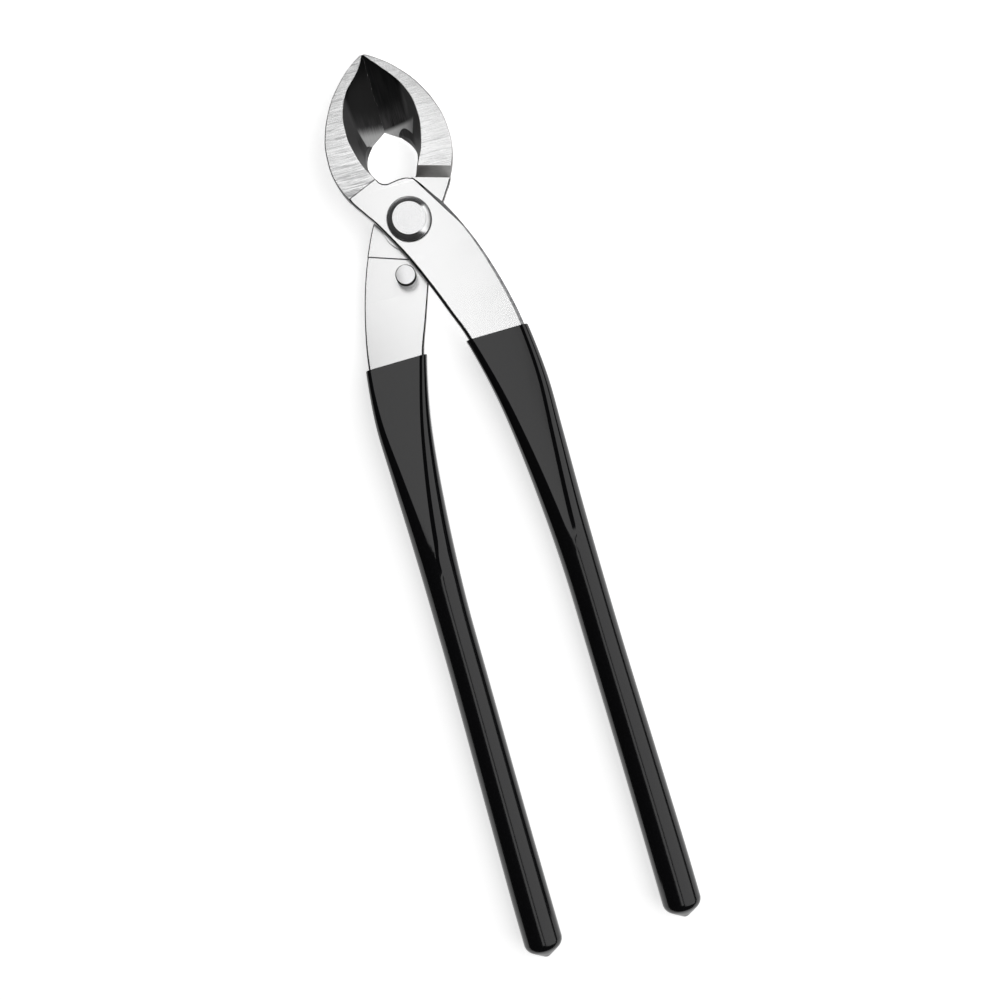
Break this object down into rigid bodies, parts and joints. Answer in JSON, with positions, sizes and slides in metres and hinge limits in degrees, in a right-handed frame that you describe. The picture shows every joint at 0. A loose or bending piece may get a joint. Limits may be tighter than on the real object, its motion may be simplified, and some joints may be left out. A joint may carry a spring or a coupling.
{
  "type": "bonsai branch cutter",
  "caption": "Concave bonsai branch cutter: crossed forged steel halves with hollow jaws, a riveted pivot, a stop pin and long black dipped grips.",
  "frame": {"origin": "on the pivot rivet's axis, at the flat end of its tail on the tool's back", "axes": "+Y from the pivot to the tip of the closed jaws, +Z out of the tool's front, +X to the right seen from the front"},
  "size_m": [0.0558, 0.2804, 0.0128],
  "materials": {
    "forged_steel": "satin ground tool steel, fine cross lines on the jaw rims, dark ground hollow",
    "rivet_steel": "fine satin ends with polished bevels",
    "black_vinyl": "glossy black dipped vinyl"
  },
  "bodies": {
    "back_lever": {"back_half": "forged_steel", "back_grip": "black_vinyl", "pivot_rivet": "rivet_steel", "stop_pin": "rivet_steel"},
    "front_lever": {"front_half": "forged_steel", "front_grip": "black_vinyl"}
  },
  "joints": [
    {"name": "pivot", "type": "hinge", "parent": "back_lever", "child": "front_lever", "pos_m": [0, 0, 0.0058], "axis": [0, 0, 1], "range_deg": [0, 60]}
  ]
}
